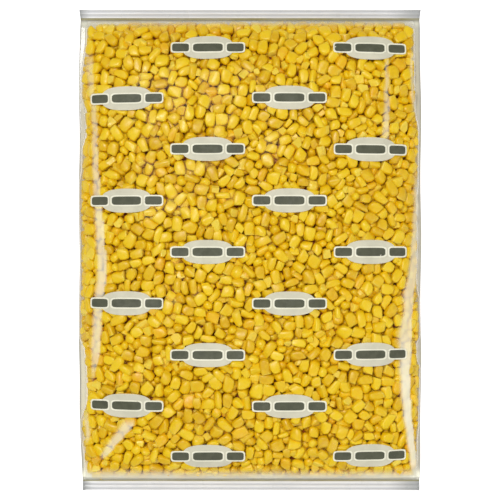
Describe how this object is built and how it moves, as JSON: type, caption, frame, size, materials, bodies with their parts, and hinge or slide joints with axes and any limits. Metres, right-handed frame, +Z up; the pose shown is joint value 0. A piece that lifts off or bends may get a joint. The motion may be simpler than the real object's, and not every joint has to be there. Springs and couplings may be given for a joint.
{
  "type": "bag of frozen sweet corn",
  "caption": "Clear sealed pillow bag packed with loose frozen sweet corn kernels, with a crimped heat seal across each end, lying on its back.",
  "frame": {"origin": "middle of the bag's underside, on the surface that it lies on", "axes": "+X across the bag, +Y along the bag towards its top seal, +Z up from the underside to the shown side"},
  "size_m": [0.27, 0.38, 0.0527],
  "materials": {
    "corn": "yellow sweet corn, slightly glossy and translucent",
    "clear_film": "thin clear glossy packing film",
    "heat_seal": "two layers of film crimped and welded, cloudy grey",
    "pale_print": "off-white ink on film",
    "dark_print": "dark olive grey ink on film"
  },
  "bodies": {
    "root": {"corn_bag": "corn"}
  },
  "joints": []
}
